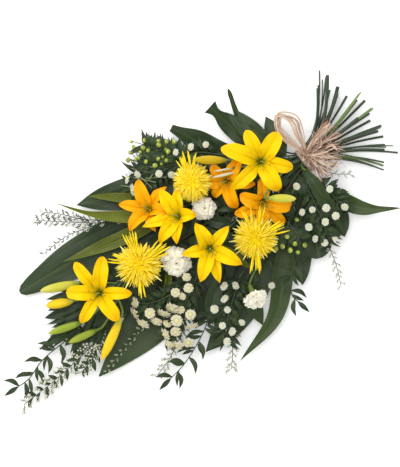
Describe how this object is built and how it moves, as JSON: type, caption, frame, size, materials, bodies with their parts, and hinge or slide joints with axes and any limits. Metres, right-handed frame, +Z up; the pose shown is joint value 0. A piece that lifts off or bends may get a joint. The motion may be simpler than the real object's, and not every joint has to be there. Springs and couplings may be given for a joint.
{
  "type": "flower sheaf",
  "caption": "Hand-tied flower sheaf lying flat: yellow lilies and spider chrysanthemums, white carnations and daisies, green berries and broad leaves, bound with raffia.",
  "frame": {"origin": "middle of the flat underside of the raffia binding, where the sheaf rests", "axes": "+X along the sheaf from the binding to the flower tips, +Y across it, +Z up out of the surface that it lies on, which is the side the flowers face"},
  "size_m": [0.8447, 0.4774, 0.1201],
  "materials": {
    "petal_yellow": "satin",
    "petal_lemon": "satin",
    "petal_white": "matte",
    "leaf_dark": "satin",
    "leaf_light": "satin",
    "stem_green": "satin",
    "berry_green": "satin",
    "seed_pale": "matte",
    "raffia": "satin"
  },
  "bodies": {
    "root": {"broad_leaf_1": "leaf_dark", "broad_leaf_2": "leaf_dark", "broad_leaf_3": "leaf_dark", "broad_leaf_4": "leaf_dark", "broad_leaf_5": "leaf_dark", "broad_leaf_6": "leaf_dark", "broad_leaf_7": "leaf_dark", "broad_leaf_8": "leaf_dark", "broad_leaf_9": "leaf_dark", "broad_leaf_10": "leaf_dark", "broad_leaf_11": "leaf_dark", "broad_leaf_12": "leaf_dark", "broad_leaf_13": "leaf_dark", "broad_leaf_14": "leaf_dark", "broad_leaf_15": "leaf_dark", "lily_stem_1": "stem_green", "lily_stem_2": "stem_green", "lily_stem_3": "stem_green", "lily_stem_4": "stem_green", "chrysanthemum_stem_1": "stem_green", "chrysanthemum_stem_2": "stem_green", "chrysanthemum_stem_3": "stem_green", "chrysanthemum_head_1": "petal_lemon", "chrysanthemum_head_2": "petal_lemon", "chrysanthemum_head_3": "petal_lemon", "carnation_stem_1": "stem_green", "carnation_stem_2": "stem_green", "carnation_stem_3": "stem_green", "carnation_head_1": "petal_white", "carnation_head_2": "petal_white", "carnation_head_3": "petal_white", "daisy_spray_1": "petal_white", "daisy_spray_2": "petal_white", "daisy_spray_3": "petal_white", "daisy_spray_4": "petal_white", "berry_spray_1": "berry_green", "berry_spray_2": "berry_green", "ruscus_spray_1": "leaf_dark", "ruscus_spray_2": "leaf_dark", "ruscus_spray_3": "leaf_dark", "grass_spray_1": "seed_pale", "grass_spray_2": "seed_pale", "grass_spray_3": "seed_pale", "grass_spray_4": "seed_pale", "grass_spray_5": "seed_pale", "folded_leaf": "leaf_dark", "lily_bloom_1": "petal_yellow", "lily_bloom_2": "petal_yellow", "lily_bloom_3": "petal_yellow", "lily_bloom_4": "petal_yellow", "lily_bloom_5": "petal_yellow", "lily_bloom_6": "petal_yellow", "lily_bloom_7": "petal_yellow", "lily_bud_1": "petal_yellow", "lily_bud_2": "petal_yellow", "lily_bud_3": "petal_yellow", "lily_bud_4": "petal_yellow", "lily_bud_5": "petal_yellow", "raffia_tie": "raffia"}
  },
  "joints": []
}
